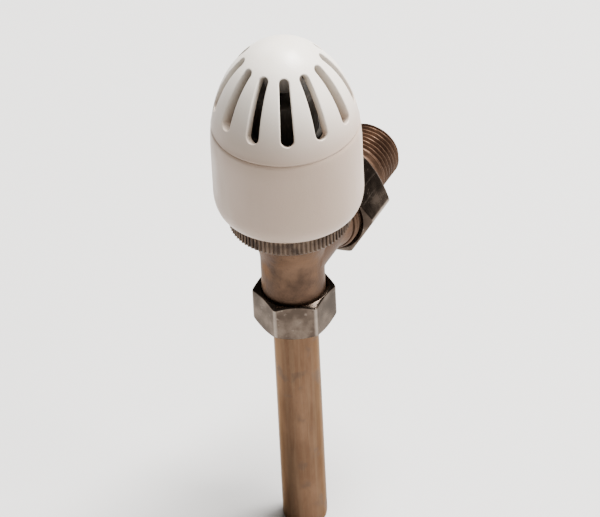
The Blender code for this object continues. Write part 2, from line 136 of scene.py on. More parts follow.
class Finish:
    """One procedural material, centred on the valve's upright axis."""

    def __init__(self, name, **constants):
        """Constants are shader sockets by name, with _ for a space."""
        self.material = bpy.data.materials.new(name)
        self.material.use_nodes = True
        self.tree = self.material.node_tree
        self.shader = self.tree.nodes["Principled BSDF"]
        for socket, value in constants.items():
            self.shader.inputs[socket.replace("_", " ")].default_value = value
        place = self.node("ShaderNodeTexCoord", {}, {}, "Object")
        centring = {"Vector": place, "Location": (0, -AXIS_Y, 0)}
        self.place = self.node("ShaderNodeMapping", {}, centring)

    def node(self, kind, settings, sockets, output=0):
        """Adds a node, with its settings first and then the values or links of its sockets."""
        made = self.tree.nodes.new(kind)
        for key, value in settings.items():
            setattr(made, key, value)
        for key, value in sockets.items():
            if isinstance(value, Wire):
                self.tree.links.new(value.socket, made.inputs[key])
            else:
                made.inputs[key].default_value = value
        return Wire(self, made.outputs[output])

    def noise(self, scale, detail=3.0, stretch=(1, 1, 1), roughness=0.5):
        """Noise with about this many features per metre, stretched along an axis if asked."""
        where = self.node("ShaderNodeMapping", {}, {"Vector": self.place, "Scale": stretch})
        sockets = {"Vector": where, "Scale": scale, "Detail": detail, "Roughness": roughness}
        return self.node("ShaderNodeTexNoise", {}, sockets)

    def cells(self, scale):
        """Distance to the nearest of scattered points, about this many per metre."""
        sockets = {"Vector": self.place, "Scale": scale}
        return self.node("ShaderNodeTexVoronoi", {"feature": "F1"}, sockets)

    def mark(self, name):
        """A value the mesh carries, from 0 to 1."""
        return self.node("ShaderNodeAttribute", {"attribute_name": name}, {}, 2)

    def along(self, axis):
        """The X, Y or Z place on the piece, in metres."""
        return self.node("ShaderNodeSeparateXYZ", {}, {0: self.place}, axis)

    def spun(self, scale, axis="Z"):
        """Noise in fine rings round an axis, as a lathe leaves them."""
        squeeze = {"Z": (0.02, 0.02, 1.0), "Y": (0.02, 1.0, 0.02)}[axis]
        return self.noise(scale, 2.0, squeeze)

    def mix(self, share, first, second):
        """The first colour where share is 0 and the second where it is 1."""
        values = {0: share, 6: colour(first), 7: colour(second)}
        return self.node("ShaderNodeMix", {"data_type": "RGBA"}, values, 2)

    def bump(self, height, distance, under=None):
        """A normal that follows height, on top of the normal under it."""
        sockets = {"Height": height, "Distance": distance, "Strength": 1.0}
        if under:
            sockets["Normal"] = under
        return self.node("ShaderNodeBump", {}, sockets)

    def feed(self, **sockets):
        """Links what varies over the surface to the shader, and gives back the material."""
        for name, wire in sockets.items():
            self.tree.links.new(wire.socket, self.shader.inputs[name.replace("_", " ")])
        return self.material


def colour(value):
    """A link as it is, or an RGB triple with its alpha."""
    return value if isinstance(value, Wire) else (*value, 1.0)


def cap_finish():
    """Warm white moulded plastic, with a fine texture, slight patchy yellowing and handling marks,
    painted shade on the lower band, and dirt with painted shade in the slots.
    """
    f = Finish("cap_white_moulded", IOR=1.5)
    cloud = f.noise(45.0, 4.0)
    # Painted shade: the colour darkens and browns from high on the dome down to the band.
    full_shade_from, no_shade_from = CAP_WAIST + 4.0 * MM, CAP_WAIST + 28.0 * MM
    band_painted_shade = f.along("Z").between(no_shade_from, full_shade_from)
    tint = f.mix(cloud.between(0.35, 0.7), (0.76, 0.70, 0.62), (0.84, 0.785, 0.715))
    tint = f.mix(band_painted_shade * 0.88, tint, (0.385, 0.262, 0.188))
    specks = f.noise(900.0, 2.0).between(0.68, 0.76)
    tint = f.mix(specks * 0.25, tint, (0.45, 0.38, 0.31))
    # Dirt and painted shade: the slots' walls darken the further they lie inside the outer face.
    dirt_and_shade = f.mark("sunk") * (0.35 + cloud * 0.5)
    tint = f.mix(dirt_and_shade, tint, (0.26, 0.21, 0.17))
    # Painted shade: the hollow behind the slots, with the boss and its bore, is made near-black.
    tint = f.mix(f.mark("deep") * 0.9, tint, (0.045, 0.037, 0.031))
    smears = f.noise(160.0, 5.0, (1.0, 1.0, 0.35))
    grain = f.noise(2600.0, 2.0)
    dimples = f.cells(1500.0)
    normal = f.bump(dimples * 0.6 + grain * 0.4, 0.035 * MM)
    normal = f.bump(cloud, 0.15 * MM, normal)
    rough = 0.30 + smears.between(0.35, 0.75) * 0.16 + grain * 0.05
    return f.feed(Base_Color=tint, Roughness=rough, Normal=normal)


def dark_plastic_finish():
    """Dark glass-filled moulding of the inner pieces."""
    f = Finish("dark_moulded_plastic")
    fibres = f.noise(1400.0, 4.0, (1.0, 1.0, 0.25))
    dust = f.noise(220.0, 4.0).between(0.5, 0.75)
    tint = f.mix(fibres, (0.018, 0.015, 0.012), (0.045, 0.038, 0.031))
    tint = f.mix(dust * 0.2, tint, (0.16, 0.13, 0.10))
    normal = f.bump(fibres, 0.04 * MM)
    return f.feed(Base_Color=tint, Roughness=0.5 + dust * 0.25, Normal=normal)


def brass_finish():
    """Forged brass gone brown: a shot-blasted skin, patina in the hollows, rubbed patches."""
    f = Finish("aged_forged_brass", Specular_Tint=(0.50, 0.40, 0.32, 1.0))
    patina = f.noise(120.0, 6.0, roughness=0.6)
    blast = f.cells(1100.0)
    pits = f.noise(700.0, 3.0).between(0.62, 0.74)
    rubbed = f.noise(60.0, 3.0).between(0.48, 0.66)
    tint = f.mix(patina.between(0.3, 0.7), (0.044, 0.0245, 0.0155), (0.098, 0.055, 0.035))
    tint = f.mix(rubbed * 0.4, tint, (0.165, 0.102, 0.066))
    tint = f.mix(pits * 0.6, tint, (0.05, 0.03, 0.02))
    normal = f.bump(blast * 0.7 - pits * 0.6, 0.07 * MM)
    rough = 0.36 + patina * 0.22 - rubbed * 0.08
    return f.feed(Base_Color=tint, Metallic=0.5 + rubbed * 0.3, Roughness=rough, Normal=normal)


def nut_finish(name, axis):
    """Machined nut metal: turning rings, stained flats, worn corners and small spanner dents."""
    f = Finish(name, Metallic=1.0, Specular_Tint=(0.68, 0.665, 0.65, 1.0))
    rings = f.spun(5200.0, axis)
    stain = f.noise(150.0, 5.0)
    dents = f.cells(420.0).between(0.16, 0.05)
    scuffs = f.noise(600.0, 2.0, (1.0, 0.15, 1.0)).between(0.62, 0.72)
    worn = f.mark("worn") * (0.3 + stain * 0.6)
    patches = f.noise(48.0, 2.0).between(0.44, 0.58)
    tint = f.mix(stain.between(0.35, 0.68), (0.050, 0.037, 0.029), (0.125, 0.096, 0.076))
    tint = f.mix(patches * 0.75, tint, (0.022, 0.016, 0.012))
    tint = f.mix(scuffs * 0.4, tint, (0.22, 0.18, 0.15))
    tint = f.mix(worn, tint, (0.42, 0.36, 0.31))
    normal = f.bump(rings, 0.012 * MM)
    normal = f.bump(1.0 - dents * 0.8, 0.05 * MM, normal)
    rough = 0.16 + rings * 0.08 + stain.between(0.4, 0.8) * 0.16
    return f.feed(Base_Color=tint, Roughness=rough, Normal=normal)


def copper_finish():
    """Handled copper tube: drawing lines along it, brown oxide and darker finger marks."""
    f = Finish("tarnished_copper", Specular_Tint=(0.62, 0.50, 0.40, 1.0))
    drawn = f.noise(2600.0, 3.0, (1.0, 1.0, 0.02))
    streaks = f.noise(420.0, 2.0, (1.0, 1.0, 0.05)).between(0.42, 0.62)
    oxide = f.noise(70.0, 6.0, (1.0, 1.0, 0.45), 0.6).between(0.3, 0.7)
    marks = f.noise(190.0, 4.0).between(0.55, 0.7)
    tint = f.mix(oxide, (0.086, 0.046, 0.026), (0.145, 0.083, 0.049))
    tint = f.mix(streaks * 0.22, tint, (0.19, 0.13, 0.08))
    tint = f.mix(marks * 0.4, tint, (0.075, 0.046, 0.03))
    tint = f.mix(drawn.between(0.6, 0.8) * 0.2, tint, (0.27, 0.19, 0.115))
    normal = f.bump(drawn, 0.02 * MM)
    rough = 0.26 + marks * 0.18 + drawn * 0.06
    return f.feed(Base_Color=tint, Metallic=0.8 - marks * 0.3, Roughness=rough, Normal=normal)


def collar_finish():
    """Dark bronzed collar, worn to the metal along its ridges."""
    f = Finish("dark_bronze_collar", Metallic=0.85)
    mottle = f.noise(260.0, 5.0)
    rings = f.spun(4200.0)
    dust = f.noise(110.0, 3.0).between(0.5, 0.7)
    tint = f.mix(mottle.between(0.35, 0.7), (0.032, 0.020, 0.014), (0.078, 0.050, 0.034))
    tint = f.mix(dust * 0.25, tint, (0.15, 0.11, 0.08))
    tint = f.mix(f.mark("worn") * mottle.between(0.3, 0.6) * 0.4, tint, (0.17, 0.125, 0.09))
    normal = f.bump(mottle * 0.6 + rings * 0.4, 0.04 * MM)
    return f.feed(Base_Color=tint, Roughness=0.36 + mottle * 0.2, Normal=normal)


def steel_finish():
    """Bright turned steel of the pin, clips and springs."""
    f = Finish("bright_steel", Metallic=1.0)
    rings = f.spun(6000.0)
    stain = f.noise(300.0, 4.0)
    tint = f.mix(stain.between(0.4, 0.7), (0.60, 0.59, 0.57), (0.42, 0.40, 0.37))
    return f.feed(Base_Color=tint, Roughness=0.18 + stain * 0.2, Normal=f.bump(rings, 0.01 * MM))


def rubber_finish():
    """Black moulded rubber with a dull bloom."""
    f = Finish("black_rubber_seal")
    bloom = f.noise(500.0, 4.0)
    tint = f.mix(bloom.between(0.4, 0.7), (0.012, 0.012, 0.012), (0.05, 0.048, 0.045))
    return f.feed(Base_Color=tint, Roughness=0.65 + bloom * 0.25, Normal=f.bump(bloom, 0.03 * MM))


def floor_finish():
    """Matt, nearly even pale grey."""
    f = Finish("pale_floor", Roughness=0.9)
    cloud = f.noise(3.0, 3.0)
    return f.feed(Base_Color=f.mix(cloud, (0.66, 0.655, 0.65), (0.69, 0.685, 0.68)))


# Mesh building --------------------------------------------------------------


def filleted(corners, steps=4):
    """Outline points from (radius, height, fillet) corners, each rounded and held by a loop."""
    points = []
    count = len(corners)
    for index, (radius, height, fillet) in enumerate(corners):
        here = Vector((radius, height))
        if fillet == 0:
            points.append(here)
            continue
        for side in (-1, 1):
            near = corners[(index + side) % count]
            way = Vector(near[:2]) - here
            if side < 0:
                start, start_way = here + way.normalized() * fillet, way.normalized()
            else:
                end, end_way = here + way.normalized() * fillet, way.normalized()
        points.append(start + start_way * HOLD)
        for step in range(steps + 1):
            t = step / steps
            points.append(start * (1 - t) ** 2 + here * 2 * t * (1 - t) + end * t**2)
        points.append(end + end_way * HOLD)
    return np.array(points)


def finer(outline, low, high, spacing):
    """Adds points to the outline's straight runs between two heights."""
    points = []
    for start, end in zip(outline, np.roll(outline, -1, axis=0)):
        points.append(start)
        inside = min(start[1], end[1]) >= low - HOLD and max(start[1], end[1]) <= high + HOLD
        pieces = int(np.linalg.norm(end - start) / spacing) if inside else 1
        for piece in range(1, pieces):
            points.append(start + (end - start) * piece / pieces)
    return np.array(points)


def add_piece(name, mesh, material, sharp=38.0):
    """Makes an object of a finished mesh, smooth but for edges over the sharp angle."""
    mesh.shade_smooth()
    mesh.set_sharp_from_angle(angle=math.radians(sharp))
    mesh.materials.clear()
    mesh.materials.append(material)
    obj = bpy.data.objects.new(name, mesh)
    bpy.context.scene.collection.objects.link(obj)
    return obj


def lathe(name, outline, columns, reach=None, closed=True, along_y=False):
    """Turns an outline round the valve axis, or the branch axis with along_y.

    reach(radius, angle, height), where given, moves each point in or out.
    """
    angles = np.arange(columns) * 2 * math.pi / columns
    radius, angle = np.meshgrid(outline[:, 0], angles, indexing="ij")
    height = np.repeat(outline[:, 1:2], columns, axis=1)
    if reach:
        radius = reach(radius, angle, height)
    points = np.stack([radius * np.cos(angle), radius * np.sin(angle), height], axis=-1)
    rows = len(outline)
    index = np.arange(rows * columns).reshape(rows, columns)
    lower = np.roll(index, -1, axis=0)
    quads = np.stack([index, lower, np.roll(lower, -1, axis=1), np.roll(index, -1, axis=1)], -1)
    if not closed:
        quads = quads[:-1]
    mesh = bpy.data.meshes.new(name)
    places = stand(points.reshape(-1, 3), along_y)
    mesh.from_pydata(places.tolist(), [], quads.reshape(-1, 4).tolist())
    tidy(mesh)
    return mesh


def mark_worn(mesh, start_r, full_r, along_y=False):
    """Stores how far each point stands out from the axis, for worn corners and crests."""
    points = np.empty(len(mesh.vertices) * 3)
    mesh.vertices.foreach_get("co", points)
    points = points.reshape(-1, 3)
    centred = points - ((0.0, 0.0, 0.0) if along_y else (0.0, AXIS_Y, 0.0))
    other = centred[:, 2] if along_y else centred[:, 1]
    radius = np.hypot(centred[:, 0], other)
    store(mesh, "worn", (radius - start_r) / (full_r - start_r))


def store(mesh, name, values):
    """Keeps a value from 0 to 1 at each point, for the material."""
    layer = mesh.attributes.new(name, "FLOAT", "POINT")
    layer.data.foreach_set("value", np.clip(values, 0.0, 1.0))


def mark_sunk(mesh):
    """Stores how far each point of the cap lies inside its outer face."""
    points = np.array([vert.co for vert in mesh.vertices])
    across = np.hypot(points[:, 0], points[:, 1] - AXIS_Y) / CAP_R
    up = np.clip(points[:, 2] - CAP_WAIST, 0.0, None) / DOME_RISE
    share = np.hypot(across, up)  # 1 on the outer face
    sunk_from, deep_from = 0.985, 0.80
    # sunk carries dirt and painted shade on the slots' walls.
    store(mesh, "sunk", (sunk_from - share) / 0.08)
    # deep carries painted shade for the hollow behind the slots.
    store(mesh, "deep", (deep_from - share) / 0.04)


def stand(points, along_y=False):
    """Moves points from an upright axis at the origin to the valve or branch axis."""
    x, y, z = points[:, 0], points[:, 1], points[:, 2]
    if along_y:
        return np.stack([x, AXIS_Y + z, -y], axis=-1)
    return np.stack([x, AXIS_Y + y, z], axis=-1)


def tidy(mesh, distance=0.000002):
    """Merges the seam and poles, and drops what collapsed there."""
    bm = bmesh.new()
    bm.from_mesh(mesh)
    bmesh.ops.remove_doubles(bm, verts=bm.verts, dist=distance)
    bmesh.ops.dissolve_degenerate(bm, dist=distance / 4, edges=bm.edges)
    bmesh.ops.recalc_face_normals(bm, faces=bm.faces)
    bm.to_mesh(mesh)
    bm.free()


def soft_least(first, second, sharpness):
    """The smaller of two lengths, with the corner between them rounded."""
    lowest = np.minimum(first, second)
    both = np.exp(-(first - lowest) * sharpness) + np.exp(-(second - lowest) * sharpness)
    return lowest - np.log(both) / sharpness


def hexagon(across_flats, corner_turn, bore_limit):
    """A reach for lathe that trims everything outside the bore to a hexagon."""
    sharpness = 7.0 / MM
    far, away = 1.0, 0.3  # a radius past every flat; the cosine where a flat stops counting

    def reach(radius, angle, height):
        inner = across_flats / 2
        trimmed = np.full_like(radius, far)
        for face in range(6):
            normal = math.radians(corner_turn + 30.0 + 60.0 * face)
            facing = np.cos(angle - normal)
            flat = np.where(facing > away, inner / np.maximum(facing, away), far)
            trimmed = soft_least(trimmed, flat, sharpness)
        return np.where(radius > bore_limit, soft_least(radius, trimmed, sharpness), radius)

    return reach


def threaded(crest, pitch, low, high, depth):
    """A reach for lathe that cuts a screw thread between two heights."""
    root, flank = 1.25, 3.0  # leaves flats of a sixth of the pitch at root and crest

    def reach(radius, angle, height):
        turn = (height / pitch - angle / (2 * math.pi)) % 1.0
        groove = np.clip(root - np.abs(turn - 0.5) * flank, 0.0, 1.0)
        fade = np.clip((height - low) / pitch, 0, 1) * np.clip((high - height) / pitch, 0, 1)
        on_crest = np.abs(radius - crest) < 0.2 * MM
        return np.where(on_crest, radius - depth * groove * np.minimum(fade * 2, 1), radius)

    return reach


# The cap --------------------------------------------------------------------

AROUND = 64  # points round each slot
END_ARC = 16  # of which this many on each rounded end
EDGE = 8  # points along the short edge of a slot's panel
SIDE = AROUND // 2 - EDGE
PANEL = {  # lowest and highest arc angle of the slots' panels, by inset
    0.0: (math.radians(16.0), math.radians(64.0)),
    FIN_DEPTH: (math.radians(15.5), math.radians(68.5)),
}
SLOT_MIDDLE = math.radians(40.0)
SLOT_SLOPE = math.radians(31.0)  # the slots' walls run down into the cap
SLOT_HALF = 10.9 * MM
SLOT_LOW_R, SLOT_HIGH_R = 2.15 * MM, 1.6 * MM
LIP = 0.45 * MM  # rounding of the slots' outer edges


def dome(angle, inset=0.0):
    """Radius and height on the dome at an arc angle, outer face or inset."""
    rise = DOME_RISE - inset
    return (CAP_R - inset) * np.cos(angle), CAP_WAIST + rise * np.sin(angle)


def dome_point(turn, angle, inset):
    """Points on the dome at a turn round the cap and an arc angle."""
    radius, height = dome(angle, inset)
    return np.stack([radius * np.cos(turn), radius * np.sin(turn), height], axis=-1)


def slot_outline(grow):
    """Across and along distances of the slot's edge, grown outwards."""
    low_r, high_r = SLOT_LOW_R + grow, SLOT_HIGH_R + grow
    low_centre, high_centre = SLOT_LOW_R - SLOT_HALF, SLOT_HALF - SLOT_HIGH_R
    straight = AROUND // 2 - END_ARC
    turn = np.radians(180.0 + np.arange(END_ARC) * 180.0 / END_ARC)
    low_end = np.stack([low_r * np.cos(turn), low_centre + low_r * np.sin(turn)], -1)
    high_end = np.stack([-high_r * np.cos(turn), high_centre - high_r * np.sin(turn)], -1)
    share = (np.arange(straight) / straight)[:, None]
    right = (1 - share) * (low_r, low_centre) + share * (high_r, high_centre)
    left = (1 - share) * (-high_r, high_centre) + share * (-low_r, low_centre)
    points = np.concatenate([low_end, right, high_end, left])
    return np.roll(points, -(END_ARC - EDGE) // 2, axis=0)


def pierced(outline, inset, sink=0.0):
    """Where lines along the slots' slope through an outline meet the dome: out, across, height."""
    slope = np.array([math.cos(SLOT_SLOPE), math.sin(SLOT_SLOPE)])
    middle = np.array(dome(SLOT_MIDDLE)) - (0.0, CAP_WAIST)
    start = middle + outline[:, 1:] * (-slope[1], slope[0])
    size = np.array([CAP_R - inset, DOME_RISE - inset])
    a = np.sum((slope / size) ** 2)
    b = start @ (slope / size**2)
    c = np.sum((start / size) ** 2, axis=1) + (outline[:, 0] / size[0]) ** 2 - 1.0
    reach = (np.sqrt(b * b - a * c) - b) / a - sink
    hit = start + reach[:, None] * slope
    return hit[:, 0], outline[:, 0], hit[:, 1] + CAP_WAIST


def panel_outline(low_angle, high_angle):
    """Turn and arc angle of the panel's edge round one slot."""
    across = np.linspace(-SECTOR / 2, SECTOR / 2, EDGE + 1)
    up = np.linspace(low_angle, high_angle, SIDE + 1)
    low = [(turn, low_angle) for turn in across[:-1]]
    right = [(SECTOR / 2, angle) for angle in up[:-1]]
    high = [(turn, high_angle) for turn in across[:0:-1]]
    left = [(-SECTOR / 2, angle) for angle in up[:0:-1]]
    return np.array(low + right + high + left)


def slot_loops(turn):
    """Closed loops of points from the outer panel edge, down the slot, to the inner one."""
    faces = []
    spread = (0.0, 0.06, 0.25, 0.5, 0.75, 1.0)  # from the slot's edge to the panel's
    for inset, grow in ((0.0, LIP), (FIN_DEPTH, 0.0)):
        out, across, height = pierced(slot_outline(grow), inset)
        angle = np.arcsin((height - CAP_WAIST) / (DOME_RISE - inset))
        hole = np.stack([np.arctan2(across, out), angle], -1)
        panel = panel_outline(*PANEL[inset])
        loops = [hole * (1 - share) + panel * share for share in spread]
        faces.append([dome_point(turn + loop[:, 0], loop[:, 1], inset) for loop in loops])
    rim = []
    for degrees in (67.5, 45.0, 22.5, 0.0):
        bend = math.radians(degrees)
        outline = slot_outline(LIP * (1 - math.cos(bend)))
        out, across, height = pierced(outline, 0.0, LIP * (1 - math.sin(bend)))
        swing, radius = turn + np.arctan2(across, out), np.hypot(out, across)
        rim.append(np.stack([radius * np.cos(swing), radius * np.sin(swing), height], -1))
    return faces[0][::-1] + rim + faces[1]


def cap_profile():
    """The cap's turned surface, from the slots' panels down, round the hem and up inside."""
    hem_r, hem_z = 21.8 * MM, CAP_FOOT + 6.5 * MM
    groove, groove_depth = math.radians(11.5), 0.22 * MM
    groove_edge, groove_half, lip = 0.45 * MM, 0.2 * MM, 0.02 * MM
    mouth_r, mouth_top = 20.4 * MM, CAP_FOOT + 2.5 * MM
    bore, bore_top = CAP_R - CAP_WALL, CAP_WAIST + 8.0 * MM
    band = [dome(angle) for angle in np.linspace(PANEL[0.0][0], groove + 0.03, 3)]
    radius, height = dome(groove)
    band += [(radius + lip, height + groove_edge), (radius - groove_depth, height + groove_half)]
    band += [(radius - groove_depth, height - groove_half), (radius + lip, height - groove_edge)]
    band += [dome(angle) for angle in np.linspace(groove - 0.05, 0.0, 6)]
    band += [(CAP_R, (CAP_WAIST + hem_z) / 2)]
    for bend in np.linspace(0.0, math.pi / 2, 10):
        radius = hem_r + (CAP_R - hem_r) * math.cos(bend)
        band.append((radius, hem_z - (hem_z - CAP_FOOT) * math.sin(bend)))
    band += [(mouth_r + 0.6 * MM, CAP_FOOT), (mouth_r + 0.1 * MM, CAP_FOOT + 0.2 * MM)]
    band += [(mouth_r, CAP_FOOT + 0.7 * MM), (mouth_r, mouth_top)]
    band += [(bore, hem_z), (bore, bore_top)]
    band.append(dome(PANEL[FIN_DEPTH][0], FIN_DEPTH))
    return np.array(band)


def inner_crown():
    """Inside of the crown with its boss, from the inner panels' top to the blind bore."""
    boss_r, bore, groove_r = 6.0 * MM, 3.0 * MM, 4.6 * MM
    boss_foot, groove_low, bore_top = CAP_TOP - 15.0 * MM, CAP_TOP - 12.0 * MM, CAP_TOP - 5.0 * MM
    groove_high = groove_low + 1.6 * MM
    boss_angle = math.acos(boss_r / (CAP_R - FIN_DEPTH))
    turn = np.linspace(PANEL[FIN_DEPTH][1], boss_angle, 3)
    points = [dome(angle, FIN_DEPTH) for angle in turn]
    points += [(boss_r, boss_foot + ROUND), (boss_r - ROUND, boss_foot), (bore, boss_foot)]
    points += [(bore, groove_low), (groove_r, groove_low), (groove_r, groove_high)]
    points += [(bore, groove_high), (bore, bore_top), (0.0, bore_top)]
    return np.array(points)


def make_cap(material):
    """Slotted egg-shaped cap, built as panels round the slots plus turned crown and band."""
    bm = bmesh.new()
    columns = SLOTS * EDGE
    turns = SLOT_TURN - SECTOR / 2 + np.arange(columns) * 2 * math.pi / columns
    crown = np.array([dome(angle) for angle in np.linspace(math.pi / 2, PANEL[0.0][1], 12)])
    for outline in (crown, cap_profile(), inner_crown()):
        x = np.outer(outline[:, 0], np.cos(turns))
        y = np.outer(outline[:, 0], np.sin(turns))
        z = np.repeat(outline[:, 1:2], columns, axis=1)
        add_grid(bm, np.stack([x, y, z], axis=-1))
    for slot in range(SLOTS):
        loops = slot_loops(SLOT_TURN + slot * SECTOR)
        add_grid(bm, np.array(loops))
    bmesh.ops.remove_doubles(bm, verts=bm.verts, dist=0.000004)
    bmesh.ops.recalc_face_normals(bm, faces=bm.faces)
    for vert in bm.verts:
        vert.co.y += AXIS_Y
    mesh = bpy.data.meshes.new("slotted_cap")
    bm.to_mesh(mesh)
    bm.free()
    mark_sunk(mesh)
    piece = add_piece("slotted_cap", mesh, material)
    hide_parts("cap")
    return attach(piece, "turning_cap")


def add_grid(bm, points):
    """Quads between closed rows of points."""
    rows = [[bm.verts.new(point) for point in row] for row in points]
    for upper, lower in zip(rows, rows[1:]):
        for index in range(len(upper)):
            after = (index + 1) % len(upper)
            bm.faces.new((upper[index], lower[index], lower[after], upper[after]))


# Collar, nuts, body, tail and pipe ------------------------------------------


def knurl_tree():
    """Geometry nodes that set ridges round a collar and join them to it."""
    tree = bpy.data.node_groups.new("knurl_ridges", "GeometryNodeTree")
    face = tree.interface
    face.new_socket("Geometry", in_out="INPUT", socket_type="NodeSocketGeometry")
    for name in ("Radius", "Width", "Depth", "Length", "Height"):
        face.new_socket(name, in_out="INPUT", socket_type="NodeSocketFloat")
    face.new_socket("Ridges", in_out="INPUT", socket_type="NodeSocketInt")
    face.new_socket("Axis Place", in_out="INPUT", socket_type="NodeSocketVector")
    face.new_socket("Material", in_out="INPUT", socket_type="NodeSocketMaterial")
    face.new_socket("Geometry", in_out="OUTPUT", socket_type="NodeSocketGeometry")
    nodes, links = tree.nodes, tree.links
    given = nodes.new("NodeGroupInput").outputs
    ring = nodes.new("GeometryNodeMeshCircle")
    links.new(given["Ridges"], ring.inputs["Vertices"])
    links.new(given["Radius"], ring.inputs["Radius"])
    ridge = nodes.new("GeometryNodeMeshCone")
    ridge.inputs["Vertices"].default_value = 6
    links.new(given["Width"], ridge.inputs["Radius Bottom"])
    links.new(given["Width"], ridge.inputs["Radius Top"])
    links.new(given["Length"], ridge.inputs["Depth"])
    lowered = nodes.new("GeometryNodeTransform")
    links.new(ridge.outputs["Mesh"], lowered.inputs["Geometry"])
    centring = nodes.new("ShaderNodeVectorMath")
    centring.operation = "SCALE"
    centring.inputs[0].default_value = (0.0, 0.0, -0.5)
    links.new(given["Length"], centring.inputs["Scale"])
    links.new(centring.outputs[0], lowered.inputs["Translation"])
    place = nodes.new("GeometryNodeInputPosition")
    facing = nodes.new("FunctionNodeAlignRotationToVector")
    facing.axis = "X"
    facing.pivot_axis = "Z"
    links.new(place.outputs[0], facing.inputs["Vector"])
    spread = nodes.new("GeometryNodeInstanceOnPoints")
    links.new(ring.outputs["Mesh"], spread.inputs["Points"])
    links.new(lowered.outputs["Geometry"], spread.inputs["Instance"])
    links.new(facing.outputs["Rotation"], spread.inputs["Rotation"])
    flat = nodes.new("ShaderNodeCombineXYZ")
    links.new(given["Depth"], flat.inputs["X"])
    flat.inputs["Y"].default_value = 1.0
    flat.inputs["Z"].default_value = 1.0
    links.new(flat.outputs[0], spread.inputs["Scale"])
    raised = nodes.new("GeometryNodeTransform")
    links.new(spread.outputs["Instances"], raised.inputs["Geometry"])
    up = nodes.new("ShaderNodeCombineXYZ")
    links.new(given["Height"], up.inputs["Z"])
    shift = nodes.new("ShaderNodeVectorMath")
    links.new(up.outputs[0], shift.inputs[0])
    links.new(given["Axis Place"], shift.inputs[1])
    links.new(shift.outputs[0], raised.inputs["Translation"])
    joined = nodes.new("GeometryNodeJoinGeometry")
    links.new(raised.outputs["Geometry"], joined.inputs[0])
    links.new(given["Geometry"], joined.inputs[0])
    real = nodes.new("GeometryNodeRealizeInstances")
    links.new(joined.outputs[0], real.inputs[0])
    paint = nodes.new("GeometryNodeSetMaterial")
    links.new(real.outputs[0], paint.inputs["Geometry"])
    links.new(given["Material"], paint.inputs["Material"])
    links.new(paint.outputs[0], nodes.new("NodeGroupOutput").inputs[0])
    return tree


def grown(piece, tree, values):
    """Runs a geometry tree on a piece and leaves its result as a plain mesh."""
    modifier = piece.modifiers.new("Grow", "NODES")
    modifier.node_group = tree
    for item in tree.interface.items_tree:
        if item.item_type == "SOCKET" and item.in_out == "INPUT" and item.name in values:
            modifier[item.identifier] = values[item.name]
    bpy.context.view_layer.update()
    evaluated = piece.evaluated_get(bpy.context.evaluated_depsgraph_get())
    mesh = bpy.data.meshes.new_from_object(evaluated)
    piece.modifiers.remove(modifier)
    piece.data = mesh
    return piece


def make_collar(material):
    """Knurled collar that clamps the head on the body."""
    low, high = COLLAR_LOW.z, COLLAR_HIGH.z
    root_r, bevel = COLLAR_R - 0.55 * MM, 1.0 * MM
    thread_r, lip_r, lip_z = 15.3 * MM, 12.5 * MM, high - 2.0 * MM
    corners = [(lip_r, high, EASED), (root_r, high, 0.8 * MM), (root_r, low + bevel, SOFT)]
    corners += [(root_r - bevel, low, SOFT), (thread_r, low, SOFT)]
    corners += [(thread_r, lip_z, EASED), (lip_r, lip_z, EASED)]
    mesh = lathe("knurled_collar", filleted(corners), 160)
    piece = add_piece("knurled_collar", mesh, material)
    values = {
        "Radius": root_r,
        "Width": 0.52 * MM,
        "Depth": 1.0,
        "Length": high - low - 2.4 * MM,
        "Height": (high + low) / 2,
        "Ridges": 84,
        "Axis Place": (0.0, AXIS_Y, 0.0),
        "Material": material,
    }
    grown(piece, knurl_tree(), values)
    mark_worn(piece.data, COLLAR_R - 0.4 * MM, COLLAR_R)
    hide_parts("ring_nut")
    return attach(piece, "valve")


def make_compression_nut(material):
    """24 mm hexagon nut, chamfered at both ends and coned onto the pipe."""
    top, foot = NUT_HIGH.z, NUT_LOW.z
    across_flats, corner, chamfer = 24.0 * MM, 13.75 * MM, 1.2 * MM
    corner_round = 0.5 * MM
    hex_foot, face_r = foot + 1.5 * MM, 11.7 * MM
    thread_r, thread_foot = 10.75 * MM, foot + 4.5 * MM
    cone_r, hole, hole_top = 9.8 * MM, 7.9 * MM, foot + 3.0 * MM
    corners = [(thread_r, top, EASED), (face_r, top, CRISP)]
    corners += [(corner, top - chamfer, corner_round), (corner, hex_foot + chamfer, corner_round)]
    corners += [(face_r, hex_foot, SOFT), (cone_r, foot, ROUND), (hole, foot, 0.15 * MM)]
    corners += [(hole, hole_top, CRISP), (thread_r, thread_foot, CRISP)]
    outline = finer(filleted(corners), hex_foot, top, 0.35 * MM)
    reach = hexagon(across_flats, NUT_TURN, thread_r + 0.1 * MM)
    mesh = lathe("compression_nut_hexagon", outline, 288, reach)
    mark_worn(mesh, 13.4 * MM, corner)
    piece = add_piece("compression_nut_hexagon", mesh, material)
    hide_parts("compression_nut")
    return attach(piece, "valve")


